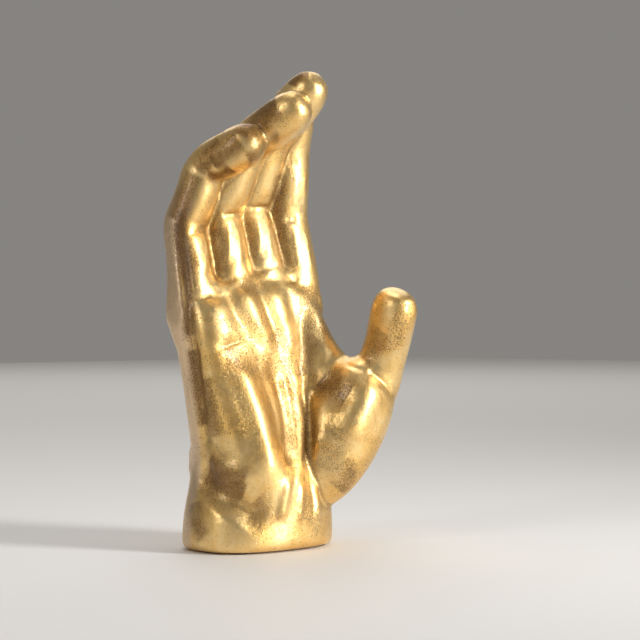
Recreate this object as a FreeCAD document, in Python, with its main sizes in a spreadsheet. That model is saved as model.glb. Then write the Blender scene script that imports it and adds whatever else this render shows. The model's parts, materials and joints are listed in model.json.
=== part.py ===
import FreeCAD, Part
import Sketcher
import math
import os

Vector = FreeCAD.Vector
Rotation = FreeCAD.Rotation
X, Y, Z = Vector(1, 0, 0), Vector(0, 1, 0), Vector(0, 0, 1)

# Driving dimensions of the foot, wrist and palm, the hollow, and the pieces under the foot, in millimetres
SIZES = {
    "foot_width": 144,
    "foot_depth": 104,
    "foot_edge_radius": 5,
    "foot_ring_width": 26,
    "foot_recess": 4,
    "wrist_width": 119,
    "wrist_depth": 88,
    "palm_height": 250,
    "palm_width": 160,
    "palm_depth": 60,
    "palm_lean": 20,
    "heel_swell": 16,
    "thenar_swell": 13,
    "index_pad_swell": 10,
    "middle_pad_swell": 6,
    "ring_pad_swell": 5,
    "little_pad_swell": 7,
    "palm_hollow": 3,
    "edge_groove": 4,
    "tendon_swell": 3,
    "crease_radius": 8,
    "thenar_width": 74,
    "thenar_depth": 62,
    "web_thickness": 30,
    "shell_wall": 7,
    "floor_thickness": 8,
    "drain_diameter": 20,
    "bung_flange_diameter": 30,
    "bung_flange_thickness": 2.5,
    "bung_head_diameter": 23,
    "bung_head_height": 8,
    "bung_clearance": 0.2,
    "cut_overrun": 1,
    "pad_diameter": 15,
    "pad_height": 1.5,
}

# Each digit's root, middle and tip bone as shares of palm_height, and its girth as shares of palm_width
# from side to side and of palm_depth from front to back
DIGIT_SHARES = {
    "index": (0.328, 0.240, 0.240, 0.250, 0.617),
    "middle": (0.332, 0.276, 0.312, 0.250, 0.633),
    "ring": (0.324, 0.276, 0.284, 0.245, 0.617),
    "little": (0.328, 0.220, 0.244, 0.245, 0.617),
    "thumb": (0.376, 0.188, 0.212, 0.281, 0.667),
}
# How each digit is turned about the upright, splayed sideways and bent at its three joints, in degrees
DIGIT_ANGLES = {
    "index": (-2, -3, -8, 16, 3),
    "middle": (6, 1, -13, 35, 27),
    "ring": (14, 2, -9, 35, 34),
    "little": (22, 3, -7, 27, 44),
    "thumb": (-82, 24, -37, 43, 4),
}

# Root joint of each digit: shares of palm_width sideways, wrist_depth backwards and palm_height up
ROOT_SHARES = {
    "index": (0.362, 0.148, 0.872),
    "middle": (0.125, 0.205, 0.896),
    "ring": (-0.119, 0.205, 0.876),
    "little": (-0.365, 0.239, 0.824),
    "thumb": (0.262, -0.250, 0.280),
}

# Rings of the palm from the foot up: height as a share of palm_height, then shares of foot, wrist and palm
# width that the ring takes, shares of their depths on the palm side and on the back, and of lean and tilt
PALM_SHARES = [
    (0.00, (1.000, 0, 0), (0.500, 0, 0), (0.500, 0, 0), 0.00, 0.0),
    (0.12, (0.975, 0, 0), (0.485, 0, 0), (0.485, 0, 0), 0.00, 0.0),
    (0.21, (0, 1.080, 0), (0, 0.530, 0), (0, 0.540, 0), 0.05, 0.0),
    (0.32, (0, 1.000, 0), (0, 0.490, 0), (0, 0.500, 0), 0.20, 0.0),
    (0.42, (0, 0.520, 0.402), (0, 0.210, 0.310), (0, 0.225, 0.330), 0.35, 0.0),
    (0.56, (0, 0, 0.850), (0, 0, 0.540), (0, 0, 0.580), 0.55, 0.0),
    (0.72, (0, 0, 0.935), (0, 0, 0.500), (0, 0, 0.500), 0.75, 0.3),
    (0.84, (0, 0, 1.000), (0, 0, 0.480), (0, 0, 0.410), 0.90, 0.7),
    (0.93, (0, 0, 0.970), (0, 0, 0.400), (0, 0, 0.320), 1.00, 1.0),
    (0.98, (0, 0, 0.880), (0, 0, 0.280), (0, 0, 0.220), 1.05, 1.0),
]
KNUCKLE_TILT = 8
PALM_RINGS = 17
# How much of the wall's inset the top edge of the hollow takes, because its rounding is smaller than outside
HOLLOW_CREASE_SHARE = 0.15

# Soft forms that stand out of the palm, or sink into it where the sign is -1: their bearing round the palm
# in degrees from the thumb side by way of the palm side, their reach each way, the shares of palm_height
# where they start, are fullest and end, and how far these levels rise over a quarter turn
SWELL_SHARES = {
    "heel_swell": (1, 118, 56, 0.14, 0.31, 0.94, 0.16),
    "thenar_swell": (1, 36, 44, 0.06, 0.42, 0.80, 0.0),
    "index_pad_swell": (1, 36, 26, 0.60, 0.84, 1.02, 0.0),
    "middle_pad_swell": (1, 70, 20, 0.62, 0.86, 1.04, 0.0),
    "ring_pad_swell": (1, 101, 20, 0.62, 0.85, 1.03, 0.0),
    "little_pad_swell": (1, 136, 24, 0.58, 0.80, 0.98, 0.0),
    "palm_hollow": (-1, 84, 44, 0.34, 0.62, 0.86, 0.0),
    "edge_groove": (-1, 166, 16, 0.24, 0.60, 1.10, 0.0),
    "tendon_swell": (1, 92, 15, 0.00, 0.14, 0.34, 0.0),
}

# Rings along a finger: bone, place along it, then shares of the width and of the depth on the palm side
# and on the back. A finger starts inside the palm, and its joints are broad behind and creased in front.
FINGER_SHARES = [
    (0, -0.50, 0.70, 0.60, 0.60),
    (0, -0.25, 0.90, 0.95, 1.00),
    (0, 0.00, 1.06, 1.22, 1.30),
    (0, 0.25, 1.09, 1.24, 1.08),
    (0, 0.50, 1.08, 1.16, 0.94),
    (0, 0.75, 1.04, 1.05, 0.94),
    (0, 0.93, 1.05, 0.92, 1.06),
    (1, 0.08, 1.05, 0.91, 1.06),
    (1, 0.30, 1.00, 1.03, 0.92),
    (1, 0.60, 0.98, 1.02, 0.90),
    (1, 0.90, 0.98, 0.94, 1.02),
    (2, 0.10, 0.99, 0.96, 1.04),
    (2, 0.35, 1.00, 1.12, 0.98),
]
THUMB_SHARES = [
    (0, 0.00, 0.80, 0.90, 0.90),
    (0, 0.20, 1.00, 1.15, 1.10),
    (0, 0.45, 1.15, 1.25, 1.20),
    (0, 0.70, 1.15, 1.18, 1.16),
    (0, 0.92, 1.06, 1.04, 1.14),
    (1, 0.12, 1.02, 0.99, 1.09),
    (1, 0.50, 0.95, 0.96, 0.94),
    (1, 0.90, 0.93, 0.88, 0.96),
    (2, 0.10, 0.94, 0.86, 0.96),
    (2, 0.40, 0.97, 0.94, 0.86),
]
# Rounded end of a digit: shares of the tip bone along it and of the girth at its last ring
TIP_SHARES = [(0.62, 1.02), (0.85, 0.92), (1.00, 0.58), (1.00, 0.00)]

# Ball of the thumb: its two ends in shares of palm_width, wrist_depth and palm_height
THENAR_SHARES = ((0.240, -0.33, 0.14), (0.606, -0.56, 0.655))
# Its cage rings, as shares of half its length from the middle and of its girth
OVAL_SHARES = [(-1.0, 0.0), (-1.0, 0.30), (-0.84, 0.58), (-0.5, 0.88), (0.0, 1.05), (0.5, 1.0), (0.88, 0.76),
               (1.0, 0.38), (1.0, 0.0)]
# Web of skin between the palm and the thumb: its two ends, then its sections from end to end with
# the shares of palm_height where each starts and stops and of web_thickness that it has
WEB_END_SHARES = ((0.285, 0.05, 0.0), (0.612, -0.50, 0.0))
WEB_SHARES = [
    (0.00, 0.28, 0.920, 1.2),
    (0.28, 0.31, 0.890, 1.3),
    (0.45, 0.34, 0.785, 1.2),
    (0.62, 0.38, 0.690, 1.0),
    (0.80, 0.42, 0.655, 1.0),
    (1.00, 0.45, 0.680, 1.0),
]
WEB_BACK_SHARE = 0.6

PALM_SQUARENESS = 2.5
DIGIT_SQUARENESS = 2.3
TIP_SQUARENESS = 2.15
WEB_SQUARENESS = 2.1
RING_POINTS = 12
PALM_POINTS = 36
BUNG_NOSE_SHARE = 0.7
# How far out a corner of the foot's outline lies, as a share of its half width and half depth
CORNER_SHARE = 0.5 ** (1 / PALM_SQUARENESS)

doc = FreeCAD.newDocument("hand_sculpture")
sheet = doc.addObject("Spreadsheet::Sheet", "Sizes")


def write_sizes():
    """Puts every driving dimension in the sheet, one row each, under its own name."""
    for row, (alias, value) in enumerate(SIZES.items(), 1):
        sheet.set(f"A{row}", alias)
        sheet.set(f"B{row}", str(value))
        sheet.setAlias(f"B{row}", alias)
    doc.recompute()


def size(alias):
    return float(sheet.get(alias))


def place(shares):
    """A point above the foot from its shares of palm width, wrist depth and palm height."""
    x, y, z = shares
    height = size("pad_height") + size("palm_height") * z
    return Vector(size("palm_width") * x, size("wrist_depth") * y, height)


def ring(centre, side, front, half_width, palm_side, back, squareness):
    """Cage points round a form, half_width each way along side, palm_side deep in front and back behind."""
    full = 3 / (2 + math.cos(2 * math.pi / RING_POINTS))
    points = []
    for k in range(RING_POINTS):
        bearing = 2 * math.pi * k / RING_POINTS
        across, forward = math.cos(bearing), math.sin(bearing)
        x = math.copysign(abs(across) ** (2 / squareness), across) * half_width
        y = math.copysign(abs(forward) ** (2 / squareness), forward) * (palm_side if forward > 0 else back)
        points.append(centre + (side * x + front * y) * full)
    return points


def skin(rings):
    """A solid with a smooth skin drawn by a cage of rings, closed flat at an end that isn't a point."""
    around, along = len(rings[0]), len(rings)
    poles = [[row[k] for row in rings] for k in range(around)]
    surface = Part.BSplineSurface()
    surface.buildFromPolesMultsKnots(
        poles, [1] * (around + 1), [4] + [1] * (along - 4) + [4],
        list(range(around + 1)), list(range(along - 2)), True, False, 3, 3)
    faces = [surface.toShape()]
    for end, row in ((0, rings[0]), (along - 3, rings[-1])):
        if row[0].distanceToPoint(row[1]) > 0:
            faces.append(Part.Face(Part.Wire(surface.vIso(end).toShape())))
    shell = Part.makeShell(faces)
    if len(faces) > 1:
        shell.sewShape()
    solid = Part.makeSolid(shell)
    if solid.Volume < 0:
        solid.reverse()
    return solid


def between_rows(rows, level):
    """The values of a table at a level between its rows, on a smooth curve through the rows."""
    last = len(rows) - 1
    k = min(sum(level >= row[0] for row in rows[1:]), last - 1)
    low, high = rows[k], rows[k + 1]
    before, after = rows[max(k - 1, 0)], rows[min(k + 2, last)]
    span = high[0] - low[0]
    t = (level - low[0]) / span
    values = []
    for column in range(1, len(low)):
        slope_low = (high[column] - before[column]) / (high[0] - before[0])
        slope_high = (after[column] - low[column]) / (after[0] - low[0])
        rise = low[column] + (high[column] - low[column]) * t * t * (3 - 2 * t)
        bow = slope_low * t * (1 - t) ** 2 - slope_high * t * t * (1 - t)
        values.append(rise + span * bow)
    return values


def crest(value, low, peak, high):
    """Rises smoothly from 0 at low to 1 at peak and falls to 0 at high."""
    if value <= low or value >= high:
        return 0
    share = (value - low) / (peak - low) if value < peak else (high - value) / (high - peak)
    return (1 - math.cos(math.pi * share)) / 2


def swell(bearing, level):
    """How far the palm's soft forms stand out at a bearing in degrees and a share of the palm's height."""
    lift = 0
    for name, (sign, centre, reach, low, peak, high, rise) in SWELL_SHARES.items():
        shift = rise * (bearing - centre) / 90
        round_share = crest(bearing, centre - reach, centre, centre + reach)
        lift += sign * size(name) * round_share * crest(level - shift, low, peak, high)
    return lift


def palm_rows():
    """The palm's rings in millimetres: height, half width, palm side, back, backward shift and tilt."""
    widths = [size("foot_width"), size("wrist_width"), size("palm_width")]
    depths = [size("foot_depth"), size("wrist_depth"), size("palm_depth")]
    rows = []
    for level, width, palm_side, back, lean, tilt in PALM_SHARES:
        half_width = sum(a * b for a, b in zip(width, widths)) / 2
        front = sum(a * b for a, b in zip(palm_side, depths))
        behind = sum(a * b for a, b in zip(back, depths))
        rows.append((level, half_width, front, behind, lean * size("palm_lean"), tilt))
    return rows


def palm_ring(rows, level, inset):
    half_width, palm_side, back, shift, tilt = between_rows(rows, level)
    height = size("pad_height") + size("palm_height") * level
    slope = math.tan(math.radians(KNUCKLE_TILT)) * tilt
    points = []
    for k in range(PALM_POINTS):
        turn = 2 * math.pi * k / PALM_POINTS
        across, forward = math.cos(turn), math.sin(turn)
        depth = palm_side if forward > 0 else back
        x = math.copysign(abs(across) ** (2 / PALM_SQUARENESS), across) * half_width
        y = math.copysign(abs(forward) ** (2 / PALM_SQUARENESS), forward) * depth
        outward = Vector(across / half_width, -forward / depth, 0).normalize()
        lift = swell(math.degrees(turn), level) - inset
        point = Vector(x, shift - y, height) + outward * lift
        point.z += point.x * slope
        points.append(point)
    return points


def palm_form(inset=0, start_height=0):
    """The wrist and palm as one block on the foot, or the hollow inside them where inset is the wall."""
    rows = palm_rows()
    first = start_height / size("palm_height")
    last = PALM_SHARES[-1][0] - inset / size("palm_height")
    levels = [first + (last - first) * k / (PALM_RINGS - 1) for k in range(PALM_RINGS)]
    foot = palm_ring(rows, first, inset + size("foot_edge_radius"))
    crease = palm_ring(rows, last, inset * HOLLOW_CREASE_SHARE + size("crease_radius"))
    return skin([foot] + [palm_ring(rows, level, inset) for level in levels] + [crease])


def recess_form():
    """The sunk middle of the foot's underside, inside the ring that it stands on."""
    edge = palm_ring(palm_rows(), 0, size("foot_ring_width"))
    low, high = -size("cut_overrun"), size("foot_recess")
    return skin([[point + Z * (low + (high - low) * k / 3) for point in edge] for k in range(4)])


def digit_form(digit, sections, inset=0):
    """A digit along its bent bones, or the hollow inside it where inset is the wall."""
    *bones, wide_share, deep_share = DIGIT_SHARES[digit]
    turn, splay, *bends = DIGIT_ANGLES[digit]
    lengths = [size("palm_height") * share for share in bones]
    lengths[-1] -= inset
    half_width, half_depth = size("palm_width") * wide_share / 2, size("palm_depth") * deep_share / 2
    turned = Rotation(Z, turn).multiply(Rotation(Y, splay))
    joints, poses, bend = [place(ROOT_SHARES[digit])], [], 0
    for length, joint_bend in zip(lengths, bends):
        bend += joint_bend
        poses.append(turned.multiply(Rotation(X, bend)))
        joints.append(joints[-1] + poses[-1].multVec(Z) * length)
    rows = [(*row, 1, DIGIT_SQUARENESS) for row in sections]
    last = sections[-1]
    rows += [(2, along, *last[2:], slim, TIP_SQUARENESS) for along, slim in TIP_SHARES]
    rings = []
    for bone, along, wide, palm_side, back, slim, squareness in rows:
        pose = poses[bone]
        centre = joints[bone] + pose.multVec(Z) * (lengths[bone] * along)
        rings.append(ring(centre, pose.multVec(X), pose.multVec(-Y), (half_width * wide - inset) * slim,
                          (half_depth * palm_side - inset) * slim, (half_depth * back - inset) * slim,
                          squareness))
    return skin(rings)


def thenar_form(inset=0):
    """The ball of the thumb, a long rounded mass from the heel of the hand to the thumb's second joint."""
    start, end = place(THENAR_SHARES[0]), place(THENAR_SHARES[1])
    axis = end - start
    middle = (start + end) * 0.5
    reach = axis.Length / 2 - inset
    axis.normalize()
    front = Vector(axis.y, -axis.x, 0).normalize()
    side = front.cross(axis)
    half_width, half_depth = size("thenar_width") / 2 - inset, size("thenar_depth") / 2 - inset
    rings = []
    for along, girth in OVAL_SHARES:
        rings.append(ring(middle + axis * (reach * along), side, front, half_width * girth,
                          half_depth * girth, half_depth * girth, 2))
    return skin(rings)


def web_form():
    """The web of skin from the index side of the palm to the thumb, with its hollow upper edge."""
    start, end = place(WEB_END_SHARES[0]), place(WEB_END_SHARES[1])
    across = end - start
    front = Vector(across.y, -across.x, 0).normalize()
    sections = []
    for along, low, high, thick in WEB_SHARES:
        centre = start + across * along + Z * (size("palm_height") * (low + high) / 2)
        half = size("palm_height") * (high - low) / 2
        depth = size("web_thickness") / 2 * thick
        sections.append(ring(centre, Z, front, half, depth, depth * WEB_BACK_SHARE, WEB_SQUARENESS))
    return skin(sections)


def shaped(name, shape):
    """Keeps a computed shape as an object of the document."""
    feature = doc.addObject("Part::Feature", name)
    feature.Shape = shape
    return feature


def fused(name, pieces):
    union = doc.addObject("Part::MultiFuse", name)
    union.Shapes = pieces
    return union


def digit_forms(name, inset=0):
    forms = []
    for digit in DIGIT_SHARES:
        sections = THUMB_SHARES if digit == "thumb" else FINGER_SHARES
        forms.append(shaped(f"{digit}_{name}", digit_form(digit, sections, inset)))
    return forms


def origin_plane(body, role):
    return next(plane for plane in body.Origin.OriginFeatures if plane.Role == role)


def new_sketch(body, name, role):
    sketch = body.newObject("Sketcher::SketchObject", name)
    sketch.AttachmentSupport = (origin_plane(body, role), [""])
    sketch.MapMode = "FlatFace"
    return sketch


def draw_outline(sketch, corners):
    """A closed outline of straight lines whose corners are pairs of expressions, 0 where on the axis."""
    points = [Vector(float(sketch.evalExpression(x)), float(sketch.evalExpression(y)), 0) for x, y in corners]
    count = len(points)
    for k in range(count):
        sketch.addGeometry(Part.LineSegment(points[k], points[(k + 1) % count]), False)
    for k in range(count):
        sketch.addConstraint(Sketcher.Constraint("Coincident", k, 2, (k + 1) % count, 1))
    for k, (x, y) in enumerate(corners):
        if x == "0":
            sketch.addConstraint(Sketcher.Constraint("PointOnObject", k, 1, -2))
        else:
            row = sketch.addConstraint(Sketcher.Constraint("DistanceX", -1, 1, k, 1, points[k].x))
            sketch.setExpression(f"Constraints[{row}]", x)
        row = sketch.addConstraint(Sketcher.Constraint("DistanceY", -1, 1, k, 1, points[k].y))
        sketch.setExpression(f"Constraints[{row}]", y)


def make_hand_shell():
    """The cast hand: the outer forms less the hollow that the mould leaves, the foot's recess and the drain."""
    wall = size("shell_wall")
    floor_top = size("foot_recess") + size("floor_thickness")
    outer = [shaped("palm_form", palm_form()), shaped("thenar_form", thenar_form())]
    outer.append(shaped("web_form", web_form()))
    outer += digit_forms("form")
    inner = [shaped("palm_core", palm_form(wall, floor_top)), shaped("thenar_core", thenar_form(wall))]
    inner += digit_forms("core", wall)
    inner.append(shaped("foot_recess_form", recess_form()))
    drain = doc.addObject("Part::Cylinder", "drain_hole")
    drain.setExpression("Radius", "Sizes.drain_diameter / 2")
    drain.setExpression("Height", "Sizes.foot_recess + Sizes.floor_thickness + Sizes.shell_wall")
    drain.setExpression("Placement.Base.z", "Sizes.pad_height")
    inner.append(drain)
    shell = doc.addObject("Part::Cut", "hand_shell")
    shell.Base = fused("hand_form", outer)
    shell.Tool = fused("hollow_form", inner)
    shell.Label = "hand_shell"
    return shell


def make_drain_bung():
    """The soft bung pressed up through the drain hole, with its flange in the foot's recess."""
    under = "Sizes.pad_height + Sizes.foot_recess"
    over = f"{under} + Sizes.floor_thickness + Sizes.bung_clearance"
    bottom = f"{under} - Sizes.bung_flange_thickness"
    top = f"{over} + Sizes.bung_head_height"
    flange = "Sizes.bung_flange_diameter / 2"
    neck = "Sizes.drain_diameter / 2 - Sizes.bung_clearance"
    head = "Sizes.bung_head_diameter / 2"
    nose = f"{head} * {BUNG_NOSE_SHARE}"
    body = doc.addObject("PartDesign::Body", "drain_bung")
    body.Label = "drain_bung"
    sketch = new_sketch(body, "bung_profile", "XZ_Plane")
    draw_outline(sketch, [("0", bottom), (flange, bottom), (flange, under), (neck, under), (neck, over),
                          (head, over), (nose, top), ("0", top)])
    turned = body.newObject("PartDesign::Revolution", "bung_turning")
    turned.Profile = sketch
    turned.ReferenceAxis = (sketch, ["V_Axis"])
    sketch.Visibility = False
    return body


def make_felt_pad(name, side, end):
    """A felt disc under the middle of the foot ring, at the corner that side and end give."""
    body = doc.addObject("PartDesign::Body", name)
    body.Label = name
    sketch = new_sketch(body, f"{name}_outline", "XY_Plane")
    sketch.addGeometry(Part.Circle(Vector(0, 0, 0), Z, size("pad_diameter") / 2), False)
    sketch.addConstraint(Sketcher.Constraint("Coincident", 0, 3, -1, 1))
    row = sketch.addConstraint(Sketcher.Constraint("Radius", 0, size("pad_diameter") / 2))
    sketch.setExpression(f"Constraints[{row}]", "Sizes.pad_diameter / 2")
    disc = body.newObject("PartDesign::Pad", f"{name}_disc")
    disc.Profile = sketch
    disc.setExpression("Length", "Sizes.pad_height")
    middle_x = "(Sizes.foot_width - Sizes.foot_ring_width) / 2"
    middle_y = "(Sizes.foot_depth - Sizes.foot_ring_width) / 2"
    body.setExpression("Placement.Base.x", f"{middle_x} * {side * CORNER_SHARE}")
    body.setExpression("Placement.Base.y", f"{middle_y} * {end * CORNER_SHARE}")
    return body


write_sizes()
parts = [make_hand_shell(), make_drain_bung()]
for end_name, end in (("front", -1), ("rear", 1)):
    for side_name, side in (("left", -1), ("right", 1)):
        parts.append(make_felt_pad(f"felt_pad_{end_name}_{side_name}", side, end))
doc.recompute()

for item in doc.Objects:
    if "Invalid" in item.State or "Error" in item.State:
        raise RuntimeError(f"{item.Label} was not made")
for part in parts:
    if part.Shape.isNull() or not part.Shape.isValid():
        raise RuntimeError(f"{part.Label} has no sound shape")

os.makedirs("parts", exist_ok=True)
for part in parts:
    print(part.Label, len(part.Shape.Solids), "solid", round(part.Shape.Volume), "mm3")
    part.Shape.exportStep(f"parts/{part.Label}.step")
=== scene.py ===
import bpy
import json
import math
import numpy as np
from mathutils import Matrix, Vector
from mathutils.bvhtree import BVHTree

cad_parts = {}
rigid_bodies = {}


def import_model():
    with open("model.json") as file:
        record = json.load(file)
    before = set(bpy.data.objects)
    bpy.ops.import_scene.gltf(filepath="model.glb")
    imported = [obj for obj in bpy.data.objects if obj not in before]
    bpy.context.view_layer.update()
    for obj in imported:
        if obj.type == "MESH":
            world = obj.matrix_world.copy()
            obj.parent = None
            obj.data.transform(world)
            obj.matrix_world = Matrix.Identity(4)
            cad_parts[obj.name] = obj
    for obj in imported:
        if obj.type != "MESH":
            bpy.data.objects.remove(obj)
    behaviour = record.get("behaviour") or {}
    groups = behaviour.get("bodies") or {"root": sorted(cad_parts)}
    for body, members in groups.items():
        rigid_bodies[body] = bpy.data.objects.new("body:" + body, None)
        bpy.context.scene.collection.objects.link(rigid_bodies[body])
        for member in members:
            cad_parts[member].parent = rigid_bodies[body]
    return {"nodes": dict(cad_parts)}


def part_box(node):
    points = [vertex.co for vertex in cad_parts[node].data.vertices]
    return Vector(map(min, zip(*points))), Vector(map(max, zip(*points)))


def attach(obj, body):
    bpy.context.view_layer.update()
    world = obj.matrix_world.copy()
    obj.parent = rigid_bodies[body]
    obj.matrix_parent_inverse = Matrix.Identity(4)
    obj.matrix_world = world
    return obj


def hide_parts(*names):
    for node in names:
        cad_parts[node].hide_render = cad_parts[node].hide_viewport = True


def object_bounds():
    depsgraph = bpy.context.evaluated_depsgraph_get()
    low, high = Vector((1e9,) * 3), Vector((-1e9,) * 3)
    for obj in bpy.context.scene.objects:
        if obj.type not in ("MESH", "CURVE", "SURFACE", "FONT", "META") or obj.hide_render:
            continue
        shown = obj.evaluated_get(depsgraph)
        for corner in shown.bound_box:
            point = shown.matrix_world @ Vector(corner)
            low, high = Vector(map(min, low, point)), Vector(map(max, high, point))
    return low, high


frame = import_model()
cad_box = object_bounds()
scene = bpy.context.scene
MM = 0.001

# The camera stands level on the palm's little-finger side, a little lower than the roots of the fingers. Its
# lens and sensor are in millimetres, its sight in metres and its picture in points
CAMERA_PLACE = Vector((-1.0233, -1.2195, 0.204))
CAMERA_AIM = Vector((0.6693, 0.7430, 0.0))
CAMERA_LENS = 99.2
CAMERA_SIGHT = 20
PICTURE = 640
SENSOR = 36.0

# The lamps: place, aim, width and height in metres, power in watts, and the angle the light spreads over
LAMPS = {
    "tall_window": ((0.95, -1.8, 0.75), (0, 0, 0.2), 0.42, 1.4, 11, 80),
    "side_window": ((-2.2, -0.1, 1.15), (0, 0, 0.2), 0.5, 1.2, 10, 180),
    "overhead": ((0.2, 0.2, 2.4), (0, 0, 0.2), 1.2, 1.2, 10, 180),
    "far_overhead": ((2.4, 2.9, 3.2), (2.0, 2.4, 0), 3.6, 3.6, 55, 180),
}
ROOM_GREY = (0.24, 0.23, 0.22, 1)
FLOOR_PALE = (0.85, 0.83, 0.80, 1)
FLOOR_ROUGHNESS = 0.6
FLOOR_WIDTH = 12

# The leaf's colours: bright and deep gold, the painted reflection of the side window on the hand's edge, the
# brown glaze, which is partly patina and partly painted shade, and the umber specks
GOLD_BRIGHT = (0.95, 0.69, 0.31, 1)
GOLD_DEEP = (0.84, 0.52, 0.16, 1)
GOLD_SIDE_REFLECTION = (0.82, 0.60, 0.37, 1)
GOLD_SHADE = (0.21, 0.09, 0.013, 1)
UMBER = (0.12, 0.064, 0.02, 1)
# The bung's rubber and its dust, and the felt between its fibres and on top of them
RUBBER = (0.018, 0.017, 0.016, 1)
RUBBER_DUST = (0.09, 0.085, 0.08, 1)
FELT_DEEP = (0.030, 0.024, 0.020, 1)
FELT_RAISED = (0.12, 0.095, 0.075, 1)

# How fine the leaf's specks and clouds are
SPECK_SCALE = 820.0
CLOUD_SCALE = 24.0
# How much specks gather in hollows, how thick the brown glaze lies in them as patina and painted shade, how
# thick the painted patina and shade lie, and how far a speck hides the gold
HOLLOW_SPECKS = 0.45
HOLLOW_GLAZE_AND_SHADE = 0.35
PATINA_AND_SHADE_GLAZE = 0.85
SPECK_COVER = 0.72
# The leaf's least and greatest roughness, what specks and glaze add to it, what a speck leaves of the metal,
# and how deep a speck lies beside the leaf's unevenness
LEAF_ROUGHNESS = (0.30, 0.42)
SPECK_ROUGHNESS = 0.18
GLAZE_ROUGHNESS = 0.12
SPECK_METAL = 0.6
SPECK_DEPTH = 0.25

# Mesh size of the cast skin, and the gap that is welded in the CAD skin
SKIN_VOXEL = 1.72 * MM
SKIN_WELD = 0.02 * MM
# Passes of smoothing before and after the modelling, and for telling the hollows
FIRST_SMOOTHING = 14
LAST_SMOOTHING = 6
CAVITY_PASSES = 40
# A pass of smoothing draws each point in by the first share and lets it out by the second
SMOOTHING_STEPS = (0.6, -0.62)

# The bore of the drain hole, which is cut out of the CAD skin: its radius, foot and top
BORE_RADIUS, BORE_FOOT, BORE_TOP = 10.2 * MM, 5.4 * MM, 13.6 * MM
# The steps of the blind hole in its place: how far each rises and how much wider it gets
BLIND_HOLE_STEPS = ((8 * MM, 1.0), (0.0, 1.28), (10 * MM, 1.0))

# The felt discs: their sides, the rings drawn in on both faces, and the rounding of the rim
FELT_SIDES = 48
FELT_RINGS = (1.2 * MM, 1.6 * MM, 2.0 * MM)
FELT_ROUNDING = 0.45 * MM


# Selecting and finishing

def pick(piece):
    """Leaves the piece as the only one selected, and the one that the operators act on."""
    bpy.ops.object.select_all(action="DESELECT")
    piece.select_set(True)
    bpy.context.view_layer.objects.active = piece


def apply_modifier(piece, kind, **settings):
    pick(piece)
    modifier = piece.modifiers.new(kind.title(), kind)
    for name, value in settings.items():
        setattr(modifier, name, value)
    bpy.ops.object.modifier_apply(modifier=modifier.name)


def select_where(piece, kind, test):
    """In edit mode, selects the vertices or faces whose centre passes the test, and nothing else."""
    parts, centre = {"VERT": ("vertices", "co"), "FACE": ("polygons", "center")}[kind]
    bpy.ops.mesh.select_mode(type=kind)
    bpy.ops.mesh.select_all(action="DESELECT")
    bpy.ops.object.mode_set(mode="OBJECT")
    for part in getattr(piece.data, parts):
        part.select = test(getattr(part, centre))
    bpy.ops.object.mode_set(mode="EDIT")


# The cast skin

def in_bore(place):
    return math.hypot(place.x, place.y) < BORE_RADIUS and BORE_FOOT < place.z < BORE_TOP


def copy_of_casting():
    """The outer skin of the hollow casting, as a closed mesh with a blind hole for the bung."""
    node = frame["nodes"]["hand_shell"]
    skin = node.copy()
    skin.data = node.data.copy()
    skin.parent = None
    for key in list(skin.keys()):
        del skin[key]
    skin.name = "hand_skin"
    skin.data.materials.clear()
    scene.collection.objects.link(skin)
    pick(skin)
    bpy.ops.object.mode_set(mode="EDIT")
    bpy.ops.mesh.select_all(action="SELECT")
    bpy.ops.mesh.remove_doubles(threshold=SKIN_WELD)
    select_where(skin, "FACE", in_bore)
    bpy.ops.mesh.delete(type="FACE")
    # With the bore gone, all that isn't joined to the sole of the foot is the skin of the inner hollow
    bpy.ops.object.mode_set(mode="OBJECT")
    sole = min(vertex.co.z for vertex in skin.data.vertices)
    bpy.ops.object.mode_set(mode="EDIT")
    select_where(skin, "VERT", lambda place: place.z == sole)
    bpy.ops.mesh.select_linked()
    bpy.ops.mesh.select_all(action="INVERT")
    bpy.ops.mesh.delete(type="VERT")
    bpy.ops.mesh.select_non_manifold()
    for rise, widening in BLIND_HOLE_STEPS:
        bpy.ops.mesh.extrude_region_move(TRANSFORM_OT_translate={"value": (0, 0, rise)})
        bpy.ops.transform.resize(value=(widening, widening, 1), center_override=(0, 0, 0))
    bpy.ops.mesh.edge_face_add()
    bpy.ops.mesh.select_all(action="SELECT")
    bpy.ops.mesh.normals_make_consistent(inside=False)
    bpy.ops.object.mode_set(mode="OBJECT")
    apply_modifier(skin, "REMESH", mode="VOXEL", voxel_size=SKIN_VOXEL, use_smooth_shade=True)
    return skin


def ease(share):
    """A soft step from 0 to 1."""
    share = np.clip(share, 0, 1)
    return share * share * (3 - 2 * share)


def smooth_line(points, steps=8):
    """Points along a smooth curve through the given ones."""
    ends = np.vstack([2 * points[0] - points[1], points, 2 * points[-1] - points[-2]])
    line = []
    for k in range(len(points) - 1):
        a, b, c, d = ends[k:k + 4]
        for t in np.arange(steps) / steps:
            line.append(0.5 * (2 * b + (c - a) * t + (2 * a - 5 * b + 4 * c - d) * t ** 2
                               + (3 * b - a - 3 * c + d) * t ** 3))
    line.append(points[-1])
    return np.array(line)


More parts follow.
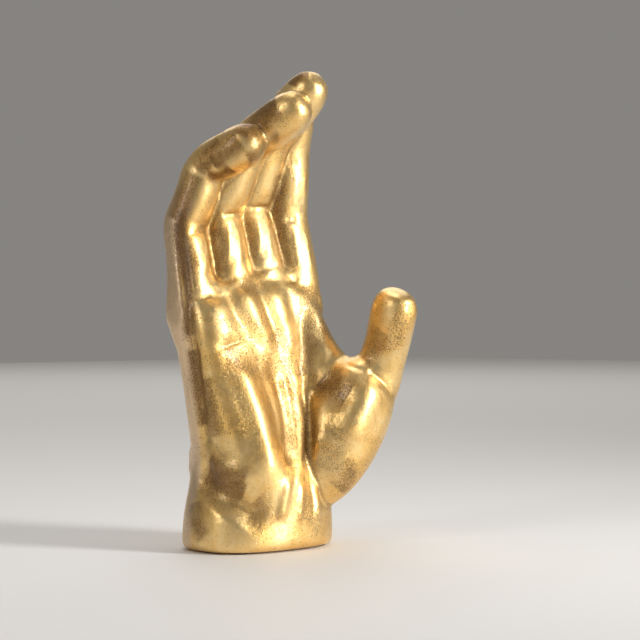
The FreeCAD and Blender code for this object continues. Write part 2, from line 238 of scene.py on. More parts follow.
class Clay:
    """The skin's points and normals as arrays, with the strokes that shape them. Lengths are in metres."""

    def __init__(self, piece):
        self.piece = piece
        mesh = piece.data
        self.points = np.empty(len(mesh.vertices) * 3)
        mesh.vertices.foreach_get("co", self.points)
        self.points = self.points.reshape(-1, 3)
        edges = np.empty(len(mesh.edges) * 2, np.int64)
        mesh.edges.foreach_get("vertices", edges)
        self.edges = edges.reshape(-1, 2)
        self.degree = np.bincount(self.edges.ravel(), minlength=len(self.points)).astype(float)
        self.faces = [tuple(p.vertices) for p in mesh.polygons]
        self.corner_faces = np.array([f if len(f) == 4 else (*f, f[-1]) for f in self.faces])
        self.feel()

    # What the skin is like

    def feel(self):
        """Takes the skin as it is now for the places of the strokes to come."""
        self.tree = BVHTree.FromPolygons([Vector(p) for p in self.points], self.faces)

    def neighbour_mean(self, values):
        total = np.zeros_like(values)
        first, second = self.edges.T
        for k in range(values.shape[1]):
            total[:, k] = (np.bincount(first, values[second, k], len(values))
                           + np.bincount(second, values[first, k], len(values)))
        return total / self.degree[:, None]

    def normals(self):
        a, b, c, d = (self.points[self.corner_faces[:, k]] for k in range(4))
        face_normals = np.cross(c - a, d - b)
        total = np.zeros_like(self.points)
        for k in range(4):
            for axis in range(3):
                total[:, axis] += np.bincount(self.corner_faces[:, k], face_normals[:, axis], len(total))
        return total / np.maximum(np.linalg.norm(total, axis=1), 1e-12)[:, None]

    def cavity(self, passes):
        """How far each point lies under, or above where below 0, the skin smoothed over a small reach."""
        blurred = self.points.copy()
        for _ in range(passes):
            blurred += 0.5 * (self.neighbour_mean(blurred) - blurred)
        return np.sum((blurred - self.points) * self.normals(), axis=1)

    def around(self, centre, reach):
        """A soft share from 1 at a centre to 0 at its reach each way, both in millimetres."""
        away = (self.points / MM - np.array(centre)) / np.array(reach)
        return ease((1 - np.linalg.norm(away, axis=1)) * 2)

    # Places on the skin, each a point and its normal

    def struck(self, rays):
        """The places where rays meet the skin, each ray given by its start and its way."""
        hits = (self.tree.ray_cast(start, way) for start, way in rays)
        return [(point, normal) for point, normal, _, _ in hits if point is not None]

    def seen(self, picture_points):
        """The places under points of the camera's picture."""
        across = Vector((CAMERA_AIM.y, -CAMERA_AIM.x, 0))
        reach = CAMERA_LENS / SENSOR * PICTURE
        rays = []
        for x, y in picture_points:
            up = Vector((0, 0, (PICTURE / 2 - y) / reach))
            ray = CAMERA_AIM + across * ((x - PICTURE / 2) / reach) + up
            rays.append((CAMERA_PLACE, ray.normalized()))
        return self.struck(rays)

    def touched(self, spots):
        """The places found from outside a bone: its digit, its number from the root, the share of its length,
        and the lean from the back of the hand towards the thumb's side, in degrees."""
        rays = []
        for digit, bone, share, lean in spots:
            joints, side = DIGIT_JOINTS[digit]
            start, end = Vector(joints[bone]) * MM, Vector(joints[bone + 1]) * MM
            back = (end - start).cross(Vector(side)).normalized()
            out = back * math.cos(math.radians(lean)) + Vector(side) * math.sin(math.radians(lean))
            rays.append((start.lerp(end, share) + out * 45 * MM, -out))
        return self.struck(rays)

    def behind(self, back_points):
        """The places on the back of the hand, under x and z in millimetres."""
        return self.struck([(Vector((x * MM, 0.5, z * MM)), Vector((0, -1, 0))) for x, z in back_points])

    # Strokes

    def band(self, found, left, right, ends=0.25):
        """For the skin near a line through found places: which points, how full the band is there, from 1
        on the line to 0 at its left and right widths, how much that counts, and the nearest points and
        normals on the line. It counts less where the skin faces another way and towards the line's ends."""
        line = smooth_line(np.array([point for point, _ in found]))
        normals = smooth_line(np.array([normal for _, normal in found]))
        normals /= np.linalg.norm(normals, axis=1)[:, None]
        reach = max(left, right)
        inside = (self.points > line.min(0) - reach) & (self.points < line.max(0) + reach)
        near = np.flatnonzero(inside.all(1))
        points = self.points[near]
        nearest = np.full(len(near), 1e9)
        base, outward = np.zeros_like(points), np.zeros_like(points)
        side, along = np.zeros(len(near)), np.zeros(len(near))
        steps = len(line) - 1
        for k in range(steps):
            start, run = line[k], line[k + 1] - line[k]
            share = np.clip((points - start) @ run / max(run @ run, 1e-12), 0, 1)
            closest = start + share[:, None] * run
            away = points - closest
            distance = np.linalg.norm(away, axis=1)
            better = distance < nearest
            nearest[better] = distance[better]
            base[better] = closest[better]
            outward[better] = normals[k]
            side[better] = (away @ np.cross(run, normals[k]))[better]
            along[better] = (k + share[better]) / steps
        level = 1 - nearest / np.where(side > 0, right, left)
        facing = np.clip(np.sum(self.normals()[near] * outward, axis=1) * 2, 0, 1)
        taper = ease(along / ends) * ease((1 - along) / ends) if ends else 1.0
        return near, np.clip(level, 0, 1), facing * taper, base, outward

    def stroke(self, found, height, left, right=None, crisp=False, ends=0.25):
        """Raises the skin along a line by height, or sinks it where height is below 0."""
        if len(found) < 2:
            return
        near, level, weight, _, outward = self.band(found, left, right or left, ends)
        form = level ** 1.5 if crisp else (1 - (1 - level) ** 2) ** 2
        self.points[near] += outward * (form * weight * height)[:, None]

    def flatten(self, found, share, reach):
        """Draws the skin along a line towards the flat strip that faces as the line does."""
        if len(found) < 2:
            return
        near, level, weight, base, outward = self.band(found, reach, reach)
        proud = np.sum((self.points[near] - base) * outward, axis=1)
        self.points[near] -= outward * (proud * ease(level * 2.5) * weight * share)[:, None]

    def fill_hollows(self, share, passes):
        """Fills sharp inner corners where share is above 0, as thumbs do in wet clay."""
        near = share[:, None]
        normals = self.normals()
        for k in range(passes):
            if k % 8 == 7:
                normals = self.normals()
            shift = self.neighbour_mean(self.points) - self.points
            lift = np.sum(shift * normals, axis=1)[:, None]
            rise, slide = normals * np.maximum(lift, 0), shift - normals * lift
            self.points += near * (rise * 0.9 + slide * 0.3)

    def relax(self, share, passes):
        """Draws the points together where share is above 0, which softens the form and its strokes."""
        for _ in range(passes):
            self.points += 0.5 * share[:, None] * (self.neighbour_mean(self.points) - self.points)

    def smooth(self, passes):
        """Smooths the whole skin by a shrinking and a swelling step each pass, so that it keeps its girth."""
        for _ in range(passes):
            for step in SMOOTHING_STEPS:
                self.points += step * (self.neighbour_mean(self.points) - self.points)

    def keep_inside(self, box, margin=2.5 * MM):
        """Eases what stands proud of the casting's overall size back to it."""
        for axis in range(3):
            for corner, way in ((box[0][axis], -1), (box[1][axis], 1)):
                depth = (corner - self.points[:, axis]) * way
                close = depth < margin
                self.points[close, axis] = corner - way * margin * np.exp(depth[close] / margin - 1)

    # Handing the work over to the mesh

    def paint(self, name, values):
        mesh = self.piece.data
        attribute = mesh.attributes.new(name, "FLOAT", "POINT")
        attribute.data.foreach_set("value", np.asarray(values, np.float32))

    def finish(self):
        self.piece.data.vertices.foreach_set("co", self.points.astype(np.float32).ravel())
        self.piece.data.update()


# Soft strokes on the palm side, in the order they are made: height in millimetres, below 0 for a hollow, the
# reach to the left and the right of the line in millimetres, and the line in picture points
PALM_FORMS = {
    "little_pad": (3.2, 17, 17, ((212, 298), (221, 320), (228, 343))),
    "ring_pad": (3.2, 15, 15, ((241, 284), (250, 303), (262, 328), (278, 352))),
    "middle_pad": (3.6, 16, 16, ((271, 280), (278, 305), (287, 336), (295, 368))),
    "index_pad": (3.0, 20, 18, ((302, 285), (309, 310), (320, 342))),
    "little_ring_valley": (-1.8, 10, 10, ((227, 287), (235, 310), (250, 336), (266, 356))),
    "ring_middle_valley": (-1.8, 9, 9, ((255, 276), (262, 298), (273, 330), (289, 362))),
    "middle_index_valley": (-1.6, 7, 7, ((287, 283), (291, 308), (297, 335))),
    "palm_hollow": (-2.2, 17, 17, ((306, 338), (308, 355), (306, 392))),
    "heel_crest": (4.0, 22, 17, ((232, 352), (246, 382), (258, 414), (267, 450), (274, 484))),
    "heel_shade": (-3.8, 12, 10, ((268, 358), (279, 388), (286, 418), (289, 450), (289, 478))),
    "life_line_valley": (-3.6, 9, 15, ((300, 378), (308, 405), (309, 440), (305, 474))),
    "life_line": (1.8, 9, 6, ((276, 344), (288, 364), (296, 384), (300, 412), (301, 445), (299, 475),
                              (291, 505))),
    "thenar_crest": (4.8, 22, 20, ((376, 380), (366, 398), (356, 420), (344, 450))),
    "thenar_slope": (-3.0, 18, 18, ((322, 372), (335, 392), (341, 412))),
    "thenar_patch": (1.5, 15, 15, ((314, 443), (323, 439), (332, 433))),
    "thenar_valley": (-1.2, 14, 14, ((336, 440), (334, 455), (326, 472))),
    "heel_hollow": (-6.0, 14, 18, ((199, 462), (208, 482), (226, 498), (250, 512), (268, 522))),
    "heel_lip": (2.5, 12, 9, ((205, 440), (216, 462), (237, 474), (262, 486))),
    "left_tendon": (1.8, 7, 7, ((289, 476), (285, 500), (280, 524))),
    "middle_tendon": (1.8, 6, 6, ((301, 478), (301, 500), (299, 524))),
    "right_tendon": (2.0, 7, 7, ((311, 474), (316, 498), (318, 522))),
    "edge_groove": (-2.6, 8, 7, ((178, 226), (183, 262), (188, 300), (193, 340), (199, 385), (205, 425),
                                 (213, 452))),
}
# Crisp creases on the palm side, given in the same way
PALM_CREASES = {
    "short_crease": (-1.4, 9, 3.5, ((211, 352), (226, 347), (242, 341), (256, 335))),
    "thumb_crease": (-1.8, 6, 9, ((366, 368), (377, 376), (387, 386), (394, 398))),
    "web_fold": (-1.0, 5, 5, ((344, 363), (354, 367), (366, 372))),
    "little_root_crease": (-1.3, 7, 6, ((189, 303), (200, 299), (213, 294))),
    "ring_root_crease": (-1.3, 7, 6, ((221, 283), (234, 278), (247, 271))),
    "middle_root_crease": (-1.3, 7, 6, ((254, 272), (267, 268), (279, 264))),
    "index_root_crease": (-1.2, 7, 6, ((284, 284), (300, 279), (318, 272))),
    "little_joint_crease": (-1.3, 5, 5, ((187, 234), (198, 232), (209, 229))),
    "ring_joint_crease": (-1.3, 5, 5, ((222, 216), (232, 214), (243, 212))),
    "middle_joint_crease": (-1.3, 5, 5, ((248, 208), (259, 207), (270, 207))),
    "index_joint_crease": (-1.6, 6, 6, ((283, 221), (298, 219), (312, 216))),
    "index_tip_crease": (-1.0, 5, 5, ((287, 165), (299, 163), (312, 160))),
}
# Flat strips on the palm side of the digits: share of flatness, reach each way in millimetres, and the line
PALM_STRIPS = {
    "little_root": (0.8, 9, ((208, 240), (210, 262), (207, 288))),
    "ring_root": (0.8, 9, ((233, 222), (235, 245), (233, 270))),
    "middle_root": (0.8, 9, ((262, 214), (265, 238), (264, 262))),
    "index_root": (0.7, 10, ((300, 228), (303, 248), (306, 268))),
    "index_middle": (0.7, 9, ((301, 172), (301, 190), (300, 210))),
    "thumb_front": (0.6, 11, ((399, 318), (397, 338), (391, 358))),
}
# Joins of the plain form that are filled before any stroke: centre and reach in millimetres, and passes
FILLED = {
    "thumb_join": ((78, -28, 120), (62, 60, 95), 110),
    "finger_roots": ((0, -12, 243), (100, 34, 30), 45),
    "little_finger_root": ((-58, -10, 216), (36, 36, 36), 60),
    "backs_of_finger_roots": ((0, 42, 240), (100, 34, 50), 90),
}
# Regions that are softened between the soft strokes and the crisp ones, and the back, after its own strokes
SOFTENED = {
    "palm": ((4, -30, 204), (92, 44, 62), 26),
    "ball_of_thumb": ((80, -50, 118), (52, 50, 66), 24),
    "little_finger_edge": ((-68, -14, 206), (28, 28, 28), 40),
}
BACK_SOFTENED = ((0, 40, 165), (84, 40, 72), 12)

# The digits' joints from root to tip in millimetres, and the way to each digit's thumb side
DIGIT_JOINTS = {
    "index": (((57.9, 13.0, 219.5), (54.1, 24.6, 300.6), (50.7, 16.3, 359.9), (47.2, 5.0, 418.7)),
              (0.998, -0.035, 0.052)),
    "middle": (((20.0, 18.0, 225.5), (19.5, 36.8, 306.4), (23.3, 11.2, 370.3), (30.3, -47.3, 421.5)),
               (0.994, 0.105, -0.017)),
    "ring": (((-19.0, 18.0, 220.5), (-19.4, 31.0, 300.5), (-10.0, 2.2, 362.4), (6.1, -57.2, 397.9)),
             (0.970, 0.242, -0.035)),
    "little": (((-58.4, 21.0, 207.5), (-58.2, 31.9, 288.8), (-48.6, 15.5, 340.4), (-26.8, -34.8, 367.1)),
               (0.926, 0.374, -0.052)),
    "thumb": (((41.9, -22.0, 71.5), (102.2, -44.4, 140.1), (100.0, -63.9, 182.8), (93.8, -86.2, 230.5)),
              (0.127, -0.905, -0.407)),
}
# Strokes on the back of the hand: height and reach in millimetres, and the line as x and z in millimetres
BACK_STROKES = {
    "index_tendon": (1.5, 9, ((56, 206), (47, 172), (36, 135), (24, 98))),
    "middle_tendon": (1.7, 9, ((19, 210), (16, 172), (12, 135), (9, 98))),
    "ring_tendon": (1.5, 9, ((-19, 206), (-17, 172), (-11, 135), (-5, 98))),
    "little_tendon": (1.3, 9, ((-53, 196), (-43, 165), (-30, 132), (-18, 98))),
    "index_middle_valley": (-2.0, 13, ((38, 226), (37, 208), (33, 180))),
    "middle_ring_valley": (-2.0, 13, ((0, 228), (0, 208), (0, 178))),
    "ring_little_valley": (-2.0, 13, ((-39, 220), (-37, 202), (-31, 174))),
    "thumb_valley": (-3.0, 16, ((66, 176), (58, 150), (48, 122))),
    "wrist_bone": (3.0, 18, ((-46, 60), (-45, 78), (-44, 92))),
}
# Knuckles, one at the root of each bone: the bone's number, and height and reach in millimetres
KNUCKLES = ((0, 2.4, 16), (1, 1.6, 11), (2, 0.9, 9))
KNUCKLE_LENGTH = 0.05
# Wrinkles over the joints: the bone's number and the share of its length; then the leans that each one spans,
# in degrees, and its height and reach in millimetres
WRINKLES = ((1, -0.03), (1, 0.04), (2, 0.02))
WRINKLE_LEANS = (-42, -15, 15, 42)
WRINKLE_HEIGHT, WRINKLE_REACH = -0.7, 2.6
# Nails on the last bones: the plate's middle line as shares of the bone's length, its flatness and reach, the
# outline as shares and leans in degrees, and the height and reach of its groove in millimetres
NAIL_PLATE = (0.5, 0.68, 0.86)
NAIL_FLATNESS, NAIL_REACH = 0.5, 6.5
NAIL_LINE = ((0.46, 0), (0.50, 28), (0.66, 40), (0.82, 38), (0.90, 0), (0.82, -38), (0.66, -40), (0.50, -28),
             (0.46, 0))
GROOVE_HEIGHT, GROOVE_REACH = -0.9, 2.4


def model_back(clay):
    """The back of the hand: knuckles, the cords of the tendons, wrinkles over the joints and shallow nails.
    The thumb has no knuckle at its first joint and no wrinkles at its second."""
    for height, reach, line in BACK_STROKES.values():
        clay.stroke(clay.behind(line), height * MM, reach * MM, ends=0.3)
    for digit in DIGIT_JOINTS:
        for bone, height, reach in KNUCKLES:
            if digit != "thumb" or bone != 0:
                mound = clay.touched(((digit, bone, 0, 0), (digit, bone, KNUCKLE_LENGTH, 0)))
                clay.stroke(mound, height * MM, reach * MM, ends=0)
        for bone, share in WRINKLES:
            if digit != "thumb" or bone != 1:
                wrinkle = clay.touched([(digit, bone, share, lean) for lean in WRINKLE_LEANS])
                clay.stroke(wrinkle, WRINKLE_HEIGHT * MM, WRINKLE_REACH * MM, crisp=True)
        plate = clay.touched([(digit, 2, share, 0) for share in NAIL_PLATE])
        clay.flatten(plate, NAIL_FLATNESS, NAIL_REACH * MM)
        nail = clay.touched([(digit, 2, share, lean) for share, lean in NAIL_LINE])
        clay.stroke(nail, GROOVE_HEIGHT * MM, GROOVE_REACH * MM, crisp=True, ends=0)


def model_hand(clay):
    """Works the plain cast form over as a modeller would: soft joins, then pads, creases and strips."""
    for centre, reach, passes in FILLED.values():
        clay.fill_hollows(clay.around(centre, reach), passes)
    clay.feel()
    for share, reach, line in PALM_STRIPS.values():
        clay.flatten(clay.seen(line), share, reach * MM)
    for height, left, right, line in PALM_FORMS.values():
        clay.stroke(clay.seen(line), height * MM, left * MM, right * MM)
    for centre, reach, passes in SOFTENED.values():
        clay.relax(clay.around(centre, reach), passes)
    for height, left, right, line in PALM_CREASES.values():
        clay.stroke(clay.seen(line), height * MM, left * MM, right * MM, crisp=True)
    model_back(clay)
    centre, reach, passes = BACK_SOFTENED
    clay.relax(clay.around(centre, reach), passes)
    clay.smooth(LAST_SMOOTHING)
    clay.keep_inside(cad_box)


# Where the brown glaze lies thick, as patina and as painted shade in folds and grooves, under the heel and
# the fingertips and over too bright reflections, and where its specks gather: the strength of each, the reach
# each way in millimetres, and the line in picture points
PATINA_AND_SHADE_STROKES = {
    "thumb_ball_slope": (0.8, 1.0, 24, ((320, 374), (336, 388), (350, 396))),
    "thumb_ball_foot": (0.5, 0.9, 18, ((338, 462), (346, 478), (336, 490))),
    "thumb_ball_hollow": (0.3, 0.8, 16, ((340, 425), (332, 450), (322, 470))),
    "thumb_side": (0.5, 0.8, 14, ((384, 330), (374, 350), (364, 362))),
    "thumb_front": (0.0, 0.6, 14, ((402, 300), (398, 330), (390, 355))),
    "palm_hollow": (0.8, 1.0, 14, ((316, 335), (306, 352), (304, 380))),
    "life_line_valley": (0.5, 0.8, 14, ((309, 405), (312, 440), (309, 475))),
    "life_line_slope": (0.45, 0.6, 24, ((270, 350), (281, 376), (287, 402), (290, 428), (289, 452))),
    # Painted shade that dims the reflection across the middle of the palm
    "palm_middle": (0.5, 0.6, 26, ((222, 360), (250, 364), (280, 368))),
    "palm_specks": (0.0, 0.9, 18, ((270, 330), (284, 352), (296, 376))),
    "pad_specks": (0.0, 0.8, 22, ((215, 330), (240, 320), (268, 322))),
    "index_pad_specks": (0.0, 1.0, 26, ((300, 285), (310, 312), (320, 345))),
    "heel_left": (0.5, 0.6, 14, ((204, 375), (210, 410), (216, 440))),
    # Painted shadow under the heel's overhang, in its fold and below it at the foot
    "heel_fold_wide": (1.0, 0.8, 30, ((206, 466), (222, 480), (246, 490))),
    "heel_fold_narrow": (1.0, 0.6, 16, ((212, 474), (228, 486), (246, 494))),
    "foot_under_fold": (0.6, 0.6, 16, ((254, 500), (268, 512), (276, 524))),
    "foot_left": (0.6, 0.6, 14, ((196, 500), (196, 520), (204, 540))),
    "foot_specks": (0.0, 0.7, 18, ((300, 500), (312, 515), (322, 530))),
    "beside_little_root": (0.6, 0.9, 10, ((190, 240), (193, 265), (191, 292))),
    "beside_ring_root": (0.6, 1.0, 11, ((217, 226), (220, 250), (221, 275))),
    "beside_middle_root": (0.4, 0.8, 10, ((249, 216), (251, 240), (252, 262))),
    "beside_index_root": (0.7, 1.0, 13, ((281, 170), (278, 200), (282, 245), (287, 275))),
    "finger_roots": (0.4, 0.8, 14, ((240, 290), (252, 286), (268, 290))),
    "ring_tip": (1.0, 0.8, 22, ((278, 102), (260, 118), (242, 142))),
    # Painted shadow under the ring fingertip
    "ring_under_tip": (0.9, 0.6, 13, ((246, 160), (262, 150), (282, 138))),
    "middle_tip": (1.0, 0.7, 14, ((290, 86), (298, 76), (310, 74))),
    "little_tip": (1.0, 0.7, 17, ((210, 164), (224, 152), (240, 138))),
    # Painted shadow under the little fingertip
    "little_under_tip": (1.0, 0.5, 11, ((206, 178), (220, 176), (233, 168))),
    "little_outer_bend": (1.0, 0.7, 16, ((176, 222), (184, 196), (196, 172))),
    "little_upper_bend": (0.9, 0.6, 14, ((196, 172), (208, 156), (222, 142))),
    "edge_groove_high": (1.0, 1.0, 10, ((184, 200), (180, 232), (184, 262), (188, 300), (192, 345))),
    "edge_groove_low": (0.8, 0.8, 10, ((192, 345), (198, 390), (204, 430))),
}
# The painted reflection of the side window on the little finger's edge: the way that it faces, how nearly and
# over what range, and the place in millimetres at which it starts on the left, at the front and at the top,
# with the distance over which it grows full
REFLECTION_WAY = (-0.97, -0.24, 0.0)
REFLECTION_FACING, REFLECTION_FACING_RANGE = 0.66, 0.2
REFLECTION_LEFT, REFLECTION_FRONT, REFLECTION_TOP = (-42, 14), (3, 9), (345, 60)


def patina_and_shade_of(clay):
    """How thick the brown glaze of patina and painted shade lies on each point, and how far its specks gather
    there, from 0 to 1.
    """
    glaze_and_shade, specks = np.zeros(len(clay.points)), np.zeros(len(clay.points))
    for thick, gathered, reach, line in PATINA_AND_SHADE_STROKES.values():
        near, level, weight, _, _ = clay.band(clay.seen(line), reach * MM, reach * MM, 0.15)
        share = ease(level * 1.3) * np.clip(weight * 2, 0, 1)
        glaze_and_shade[near] = np.maximum(glaze_and_shade[near], share * thick)
        specks[near] = np.maximum(specks[near], share * gathered)
    return glaze_and_shade, specks


def painted_side_reflection_of(clay):
    """The little finger's edge of the hand and of the foot, facing the side window, where its reflection is
    painted pale and pinkish.
    """
    outward = clay.normals() @ np.array(REFLECTION_WAY)
    x, y, z = clay.points.T / MM
    (left, left_range), (front, front_range), (top, top_range) = REFLECTION_LEFT, REFLECTION_FRONT, REFLECTION_TOP
    edge = ease((left - x) / left_range) * ease((y - front) / front_range)
    return edge * ease((outward - REFLECTION_FACING) / REFLECTION_FACING_RANGE) * ease((top - z) / top_range)


# Material nodes

class Nodes:
    """A short way to place nodes in a tree and link them."""

    def __init__(self, tree):
        self.tree = tree

    def add(self, kind, **values):
        """A new node whose sockets, or else whose settings, get the values named after them."""
        node = self.tree.nodes.new(kind)
        for name, value in values.items():
            if name in node.inputs:
                self.feed(node.inputs[name], value)
            else:
                setattr(node, name, value)
        return node

    def feed(self, socket, value):
        """Links another node's socket to this one, or sets a plain value on it."""
        if isinstance(value, bpy.types.NodeSocket):
            self.tree.links.new(value, socket)
        else:
            socket.default_value = value

    def place(self):
        """The place on the piece, in its own lengths."""
        return self.add("ShaderNodeTexCoord").outputs["Object"]

    def painted(self, name):
        """What was painted on the points under a name."""
        return self.add("ShaderNodeAttribute", attribute_name=name).outputs["Fac"]

    def noise(self, place, scale, detail=3.0, roughness=0.5, distortion=0.0):
        return self.add("ShaderNodeTexNoise", Vector=place, Scale=scale, Detail=detail, Roughness=roughness,
                        Distortion=distortion).outputs["Fac"]

    def step(self, value, low, high, to_low=0.0, to_high=1.0):
        """A soft step of a value from low to high, which become to_low and to_high."""
        step = self.add("ShaderNodeMapRange", interpolation_type="SMOOTHSTEP")
        names = ("Value", "From Min", "From Max", "To Min", "To Max")
        for name, number in zip(names, (value, low, high, to_low, to_high)):
            self.feed(step.inputs[name], number)
        return step.outputs["Result"]

    def joined(self, operation, *values):
        """The values put together two at a time by a math operation."""
        total = values[0]
        for value in values[1:]:
            step = self.add("ShaderNodeMath", operation=operation)
            self.feed(step.inputs[0], total)
            self.feed(step.inputs[1], value)
            total = step.outputs[0]
        return total

    def scaled(self, value, share):
        return self.joined("MULTIPLY", value, share)

    def blended(self, share, first, second):
        """The first colour where share is 0 and the second where it is 1."""
        mix = self.add("ShaderNodeMix", data_type="RGBA")
        for socket, value in ((0, share), (6, first), (7, second)):
            self.feed(mix.inputs[socket], value)
        return mix.outputs[2]

    def bump(self, shader, height, strength, distance):
        """Makes the surface uneven by height, which is from 0 to 1 and stands for the distance in metres."""
        bump = self.add("ShaderNodeBump", Strength=strength, Distance=distance, Height=height)
        self.feed(shader.inputs["Normal"], bump.outputs["Normal"])


def new_group(name, inputs, outputs):
    """An empty node group with the named inputs and their values, and its input and output nodes."""
    group = bpy.data.node_groups.new(name, "ShaderNodeTree")
    for socket_name, kind, value in inputs:
        socket = group.interface.new_socket(socket_name, in_out="INPUT", socket_type=kind)
        if value is not None:
            socket.default_value = value
    for socket_name, kind in outputs:
        group.interface.new_socket(socket_name, in_out="OUTPUT", socket_type=kind)
    return group, group.nodes.new("NodeGroupInput"), group.nodes.new("NodeGroupOutput")


def new_material(name):
    material = bpy.data.materials.new(name)
    material.use_nodes = True
    return material, Nodes(material.node_tree), material.node_tree.nodes["Principled BSDF"]


def age_group():
    """Antique wear: dark specks that gather in patches and hollows, soft clouds of tone, fine unevenness."""
    group, inputs, outputs = new_group(
        "age",
        (("Place", "NodeSocketVector", None), ("Speck Scale", "NodeSocketFloat", 700.0),
         ("Cloud Scale", "NodeSocketFloat", 26.0), ("Gathering", "NodeSocketFloat", 0.0)),
        (("Specks", "NodeSocketFloat"), ("Clouds", "NodeSocketFloat"), ("Unevenness", "NodeSocketFloat")))
    nodes = Nodes(group)
    place, gathering = inputs.outputs["Place"], inputs.outputs["Gathering"]
    fine = nodes.noise(place, inputs.outputs["Speck Scale"], 5.0, 0.62)
    cloud = nodes.noise(place, inputs.outputs["Cloud Scale"], 4.0, 0.6, 0.6)
    gathered = nodes.joined("ADD", nodes.step(cloud, 0.42, 0.66, 0.0, 0.075), nodes.scaled(gathering, 0.12))
    specks = nodes.step(nodes.joined("ADD", fine, gathered), 0.60, 0.69)
    nodes.feed(outputs.inputs["Specks"], specks)
    nodes.feed(outputs.inputs["Clouds"], cloud)
    nodes.feed(outputs.inputs["Unevenness"], nodes.noise(place, 210.0, 4.0, 0.6))
    return group


def gold_leaf(age):
    """Leaf laid over the glazed ceramic: warm gold, browner and rubbed where the age group gathers. Its brown
    glaze holds painted shade, and the little finger's edge a painted reflection of the side window.
    """
    material, nodes, shader = new_material("gold_leaf")
    place = nodes.place()
    hollow = nodes.step(nodes.painted("hollow"), 0.02, 0.45)
    patina_and_shade = nodes.painted("patina_and_shade")
    worn = nodes.add("ShaderNodeGroup")
    worn.node_tree = age
    gathering = nodes.joined("MAXIMUM", nodes.scaled(hollow, HOLLOW_SPECKS), nodes.painted("specks"))
    nodes.feed(worn.inputs["Place"], place)
    nodes.feed(worn.inputs["Speck Scale"], SPECK_SCALE)
    nodes.feed(worn.inputs["Cloud Scale"], CLOUD_SCALE)
    nodes.feed(worn.inputs["Gathering"], gathering)
    specks, clouds, uneven = (worn.outputs[name] for name in ("Specks", "Clouds", "Unevenness"))
    patina_and_shade = nodes.scaled(patina_and_shade, nodes.step(clouds, 0.30, 0.70, 0.80, 1.10))
    gold = nodes.blended(nodes.step(clouds, 0.36, 0.66), GOLD_BRIGHT, GOLD_DEEP)
    gold = nodes.blended(nodes.step(uneven, 0.42, 0.66, 0.0, 0.45), gold, GOLD_DEEP)
    # Painted reflection of the side window: pale and pinkish on the little finger's edge
    gold = nodes.blended(nodes.painted("painted_side_reflection"), gold, GOLD_SIDE_REFLECTION)
    # The brown glaze: patina, and painted shade in hollows, folds and under overhangs
    glaze_and_shade = nodes.joined("MAXIMUM", nodes.scaled(hollow, HOLLOW_GLAZE_AND_SHADE), nodes.scaled(patina_and_shade, PATINA_AND_SHADE_GLAZE))
    gold = nodes.blended(glaze_and_shade, gold, GOLD_SHADE)
    nodes.feed(shader.inputs["Base Color"], nodes.blended(nodes.scaled(specks, SPECK_COVER), gold, UMBER))
    rough = nodes.joined("ADD", nodes.step(uneven, 0.3, 0.7, *LEAF_ROUGHNESS),
                         nodes.scaled(specks, SPECK_ROUGHNESS), nodes.scaled(glaze_and_shade, GLAZE_ROUGHNESS))
    nodes.feed(shader.inputs["Roughness"], rough)
    nodes.feed(shader.inputs["Metallic"], nodes.step(specks, 0.0, 1.0, 1.0, SPECK_METAL))
    shader.inputs["Coat Weight"].default_value = 0.4
    shader.inputs["Coat Roughness"].default_value = 0.2
    nodes.bump(shader, nodes.joined("SUBTRACT", uneven, nodes.scaled(specks, SPECK_DEPTH)), 0.35, 0.0012)
    return material


def moulded_rubber():
    """Dark matt rubber with a fine mould grain and a little dust."""
    material, nodes, shader = new_material("moulded_rubber")
    place = nodes.place()
    dust = nodes.step(nodes.noise(place, 60.0, 5.0), 0.5, 0.8)
    nodes.feed(shader.inputs["Base Color"], nodes.blended(dust, RUBBER, RUBBER_DUST))
    nodes.feed(shader.inputs["Roughness"], nodes.step(dust, 0.0, 1.0, 0.55, 0.9))
    nodes.bump(shader, nodes.noise(place, 1400.0, 3.0), 0.25, 0.0003)
    return material


def pressed_felt():
    """Dark brown pressed felt: matted fibres in two sizes, paler where they stand up."""
    material, nodes, shader = new_material("pressed_felt")
    place = nodes.place()
    fibre = nodes.noise(place, 1800.0, 6.0, 0.75, 1.5)
    clump = nodes.noise(place, 420.0, 4.0, 0.6)
    tone = nodes.joined("ADD", nodes.scaled(fibre, 0.7), nodes.scaled(clump, 0.3))
    raised = nodes.step(tone, 0.35, 0.65)
    nodes.feed(shader.inputs["Base Color"], nodes.blended(raised, FELT_DEEP, FELT_RAISED))
    shader.inputs["Roughness"].default_value = 0.95
    shader.inputs["Sheen Weight"].default_value = 0.3
    nodes.bump(shader, tone, 0.6, 0.0006)
    return material


# The felt and the bung under the foot

def felt_disc(node, felt):
    """A die-cut disc of felt with a soft rounded rim, in the place of its plain solid."""
    low, high = (Vector(corner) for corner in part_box(node))
    bpy.ops.object.select_all(action="DESELECT")
    bpy.ops.mesh.primitive_cylinder_add(vertices=FELT_SIDES, radius=(high.x - low.x) / 2,
                                        depth=high.z - low.z, location=(low + high) / 2)
    disc = bpy.context.active_object
    disc.name = node.replace("felt_pad", "felt_disc")
    bpy.ops.object.transform_apply(location=True, rotation=True, scale=True)
    bpy.ops.object.mode_set(mode="EDIT")
    select_where(disc, "FACE", lambda centre: min(centre.z - low.z, high.z - centre.z) < 0.1 * MM)
    for ring in FELT_RINGS:
        bpy.ops.mesh.inset(thickness=ring)
    bpy.ops.object.mode_set(mode="OBJECT")
    apply_modifier(disc, "BEVEL", width=FELT_ROUNDING, segments=4, limit_method="ANGLE",
                   angle_limit=math.radians(50))
    bpy.ops.object.shade_smooth_by_angle(angle=math.radians(40))
    disc.data.materials.append(felt)
    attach(disc, "root")
    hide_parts(node)


def dress(node, material):
    """Gives a CAD piece its finish in place of the plain one."""
    node.data.materials.clear()
    node.data.materials.append(material)


# Camera, floor and light

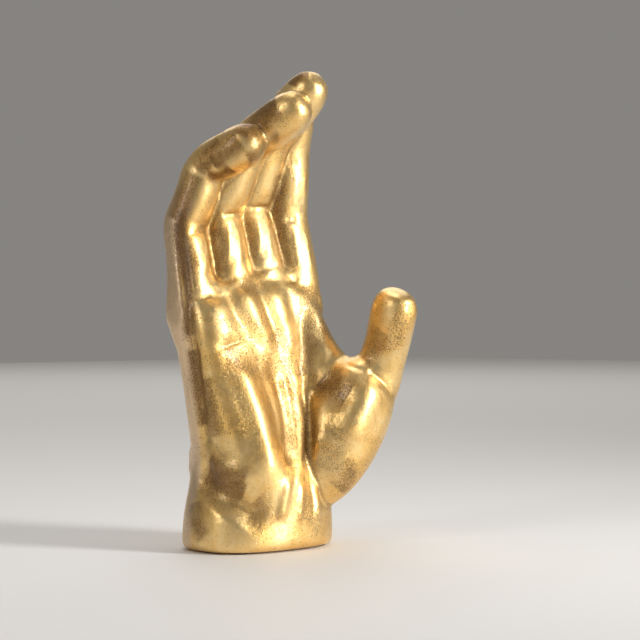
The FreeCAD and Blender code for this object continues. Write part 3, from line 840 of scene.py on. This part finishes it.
def make_camera():
    camera = bpy.data.objects.new("camera", bpy.data.cameras.new("camera"))
    camera.data.lens = CAMERA_LENS
    camera.data.sensor_width = SENSOR
    camera.data.clip_end = CAMERA_SIGHT
    camera.location = CAMERA_PLACE
    camera.rotation_euler = CAMERA_AIM.to_track_quat("-Z", "Y").to_euler()
    scene.collection.objects.link(camera)
    scene.camera = camera


def make_floor():
    bpy.ops.object.select_all(action="DESELECT")
    bpy.ops.mesh.primitive_plane_add(size=FLOOR_WIDTH)
    floor = bpy.context.active_object
    floor.name = "floor"
    material, _, shader = new_material("pale_floor")
    shader.inputs["Base Color"].default_value = FLOOR_PALE
    shader.inputs["Roughness"].default_value = FLOOR_ROUGHNESS
    floor.data.materials.append(material)


def make_light():
    for name, (place, aim, width, height, power, angle) in LAMPS.items():
        lamp = bpy.data.objects.new(name, bpy.data.lights.new(name, "AREA"))
        lamp.data.shape = "RECTANGLE"
        lamp.data.size = width
        lamp.data.size_y = height
        lamp.data.energy = power
        lamp.data.spread = math.radians(angle)
        lamp.location = place
        lamp.rotation_euler = (Vector(aim) - Vector(place)).to_track_quat("-Z", "Y").to_euler()
        scene.collection.objects.link(lamp)
    world = bpy.data.worlds.new("room")
    world.use_nodes = True
    world.node_tree.nodes["Background"].inputs["Color"].default_value = ROOM_GREY
    world.node_tree.nodes["Background"].inputs["Strength"].default_value = 1.0
    scene.world = world


make_camera()
make_floor()
make_light()

skin = copy_of_casting()
clay = Clay(skin)
clay.smooth(FIRST_SMOOTHING)
model_hand(clay)
# The brown glaze, partly patina and partly painted shade, and where its specks gather
glaze_and_shade, specks = patina_and_shade_of(clay)
clay.paint("hollow", clay.cavity(CAVITY_PASSES) / MM)
clay.paint("patina_and_shade", glaze_and_shade)
clay.paint("specks", specks)
# The painted reflection of the side window on the little finger's edge
clay.paint("painted_side_reflection", painted_side_reflection_of(clay))
clay.finish()
skin.data.materials.append(gold_leaf(age_group()))
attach(skin, "root")
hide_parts("hand_shell")

felt = pressed_felt()
for end in ("front", "rear"):
    for side in ("left", "right"):
        felt_disc(f"felt_pad_{end}_{side}", felt)
dress(frame["nodes"]["drain_bung"], moulded_rubber())

scene.view_settings.view_transform = "Standard"
